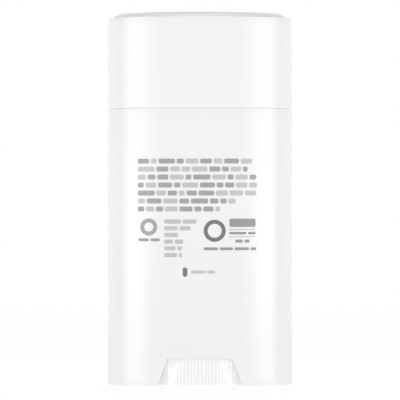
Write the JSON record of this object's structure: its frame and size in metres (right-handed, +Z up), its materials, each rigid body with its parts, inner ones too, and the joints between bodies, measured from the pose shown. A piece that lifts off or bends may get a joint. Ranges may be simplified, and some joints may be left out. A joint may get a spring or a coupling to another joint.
{
  "type": "deodorant stick",
  "caption": "Oval twist-up deodorant stick: barrel with a hand wheel in its base, screw-driven platform, domed bar, seal cover and overcap.",
  "frame": {"origin": "centre of the foot, on the surface that the stick stands on", "axes": "+Z up through the cap, +X to the right across the oval, -Y out of the back face"},
  "size_m": [0.061, 0.0344, 0.1236],
  "materials": {
    "barrel": "gloss white polypropylene",
    "hand_wheel": "satin white polypropylene",
    "platform": "natural white polyethylene",
    "deodorant_bar": "smooth waxy solid",
    "seal_cover": "thin translucent white polyethylene",
    "cap": "gloss white polypropylene"
  },
  "bodies": {
    "barrel": {"barrel": "barrel"},
    "dial": {"hand_wheel": "hand_wheel"},
    "carriage": {"platform": "platform", "deodorant_bar": "deodorant_bar"},
    "seal": {"seal_cover": "seal_cover"},
    "overcap": {"cap": "cap"}
  },
  "joints": [
    {"name": "wheel_turn", "type": "hinge", "parent": "barrel", "child": "dial", "pos_m": [0, 0, 0.0118], "axis": [0, 0, -1], "range_deg": [0, 5220]},
    {"name": "platform_lift", "type": "slide", "parent": "barrel", "child": "carriage", "axis": [0, 0, 1], "range_m": [0, 0.058]},
    {"name": "seal_lift", "type": "slide", "parent": "carriage", "child": "seal", "axis": [0, 0, 1], "range_m": [0, 0.04]},
    {"name": "cap_lift", "type": "slide", "parent": "seal", "child": "overcap", "axis": [0, 0, 1], "range_m": [0, 0.06]}
  ],
  "couplings": [
    {"joint": "platform_lift", "follows": "wheel_turn", "m_per_rad": 0.00063661}
  ]
}
